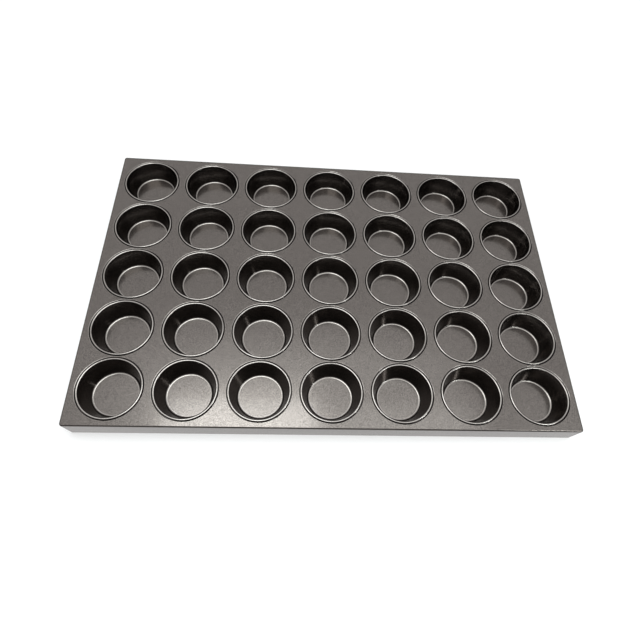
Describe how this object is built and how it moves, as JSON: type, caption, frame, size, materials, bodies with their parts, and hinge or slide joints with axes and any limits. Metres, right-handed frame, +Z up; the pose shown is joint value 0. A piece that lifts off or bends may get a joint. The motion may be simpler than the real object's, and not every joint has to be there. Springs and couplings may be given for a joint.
{
  "type": "muffin tray",
  "caption": "Large rectangular baking tray: round tapered muffin cups crimped in a close grid into one folded steel sheet with a deep skirt, dark satin non-stick coat.",
  "frame": {"origin": "middle of the footprint, on the surface that the lower edges of the skirts stand on", "axes": "+X along the rows of seven cups, +Y along the columns of five cups to the back, +Z up, out of the cups' mouths"},
  "size_m": [0.6, 0.4, 0.0305],
  "materials": {
    "frame_coat": "satin non-stick coat with a fine metallic fleck, on folded steel sheet",
    "cup_coat": "satin non-stick coat with a fine metallic fleck, on drawn steel"
  },
  "bodies": {
    "root": {"tray_frame": "frame_coat", "cup_r1_c1": "cup_coat", "cup_r1_c2": "cup_coat", "cup_r1_c3": "cup_coat", "cup_r1_c4": "cup_coat", "cup_r1_c5": "cup_coat", "cup_r1_c6": "cup_coat", "cup_r1_c7": "cup_coat", "cup_r2_c1": "cup_coat", "cup_r2_c2": "cup_coat", "cup_r2_c3": "cup_coat", "cup_r2_c4": "cup_coat", "cup_r2_c5": "cup_coat", "cup_r2_c6": "cup_coat", "cup_r2_c7": "cup_coat", "cup_r3_c1": "cup_coat", "cup_r3_c2": "cup_coat", "cup_r3_c3": "cup_coat", "cup_r3_c4": "cup_coat", "cup_r3_c5": "cup_coat", "cup_r3_c6": "cup_coat", "cup_r3_c7": "cup_coat", "cup_r4_c1": "cup_coat", "cup_r4_c2": "cup_coat", "cup_r4_c3": "cup_coat", "cup_r4_c4": "cup_coat", "cup_r4_c5": "cup_coat", "cup_r4_c6": "cup_coat", "cup_r4_c7": "cup_coat", "cup_r5_c1": "cup_coat", "cup_r5_c2": "cup_coat", "cup_r5_c3": "cup_coat", "cup_r5_c4": "cup_coat", "cup_r5_c5": "cup_coat", "cup_r5_c6": "cup_coat", "cup_r5_c7": "cup_coat"}
  },
  "joints": []
}
